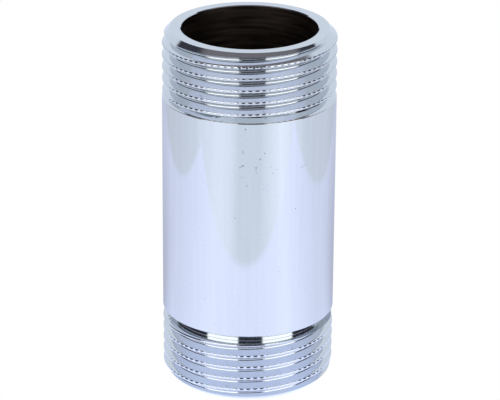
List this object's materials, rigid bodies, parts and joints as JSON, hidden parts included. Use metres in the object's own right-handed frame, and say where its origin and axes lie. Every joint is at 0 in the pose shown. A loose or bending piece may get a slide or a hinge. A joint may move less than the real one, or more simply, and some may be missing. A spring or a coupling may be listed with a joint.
{
  "type": "threaded barrel nipple",
  "caption": "Round chrome-plated pipe nipple with a plain polished barrel, a male parallel pipe thread on each end and a straight through bore.",
  "frame": {"origin": "centre of the lower end face, on the axis of the bore", "axes": "+Z along the axis towards the upper end face, +Y away from the front, +X to the right"},
  "size_m": [0.033, 0.033, 0.07],
  "materials": {
    "chrome": "polished chrome plate on brass"
  },
  "bodies": {
    "root": {"nipple_body": "chrome"}
  },
  "joints": []
}
